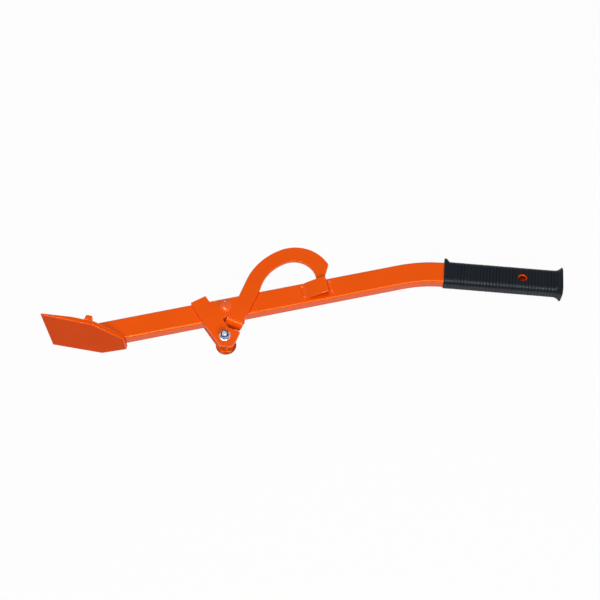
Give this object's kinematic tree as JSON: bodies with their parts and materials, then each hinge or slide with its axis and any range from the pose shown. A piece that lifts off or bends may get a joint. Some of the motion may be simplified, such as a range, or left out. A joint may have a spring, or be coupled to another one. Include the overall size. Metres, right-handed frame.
{
  "type": "felling lever",
  "caption": "Felling lever with a flat blade welded under a rectangular tube, a swinging cant hook on a riveted pivot, a point guard and a moulded grip.",
  "frame": {"origin": "middle of the underside of the bounding box, with the lever lying on its side", "axes": "+X along the straight tube from the blade towards the grip, +Y in the bend plane towards the hook side, +Z square to the tube's wide faces on the side of the hook plate"},
  "size_m": [0.8014, 0.1707, 0.103],
  "materials": {
    "orange_paint": "smooth satin orange powder coat on steel",
    "black_grip": "matt black moulded rubber with fine cross ribs",
    "zinc_plated_steel": "bright zinc plating",
    "nylon_insert": "plain blue nylon"
  },
  "bodies": {
    "lever": {"lever_tube": "orange_paint", "pivot_bush": "zinc_plated_steel", "blade": "orange_paint", "blade_teeth": "orange_paint", "blade_weld": "orange_paint", "point_guard": "orange_paint", "guard_welds": "orange_paint", "grip": "black_grip"},
    "hook": {"hook_plate": "orange_paint", "rear_cheek": "orange_paint", "pivot_rivet": "orange_paint", "lug_bolt": "zinc_plated_steel", "bolt_washer": "orange_paint", "lug_spacer": "zinc_plated_steel", "nut_washer": "zinc_plated_steel", "lock_nut": "zinc_plated_steel", "nut_insert": "nylon_insert"}
  },
  "joints": [
    {"name": "hook_swing", "type": "hinge", "parent": "lever", "child": "hook", "pos_m": [-0.12681, 0.00435, 0.0515], "axis": [0, 0, 1], "range_deg": [0, 36]}
  ]
}
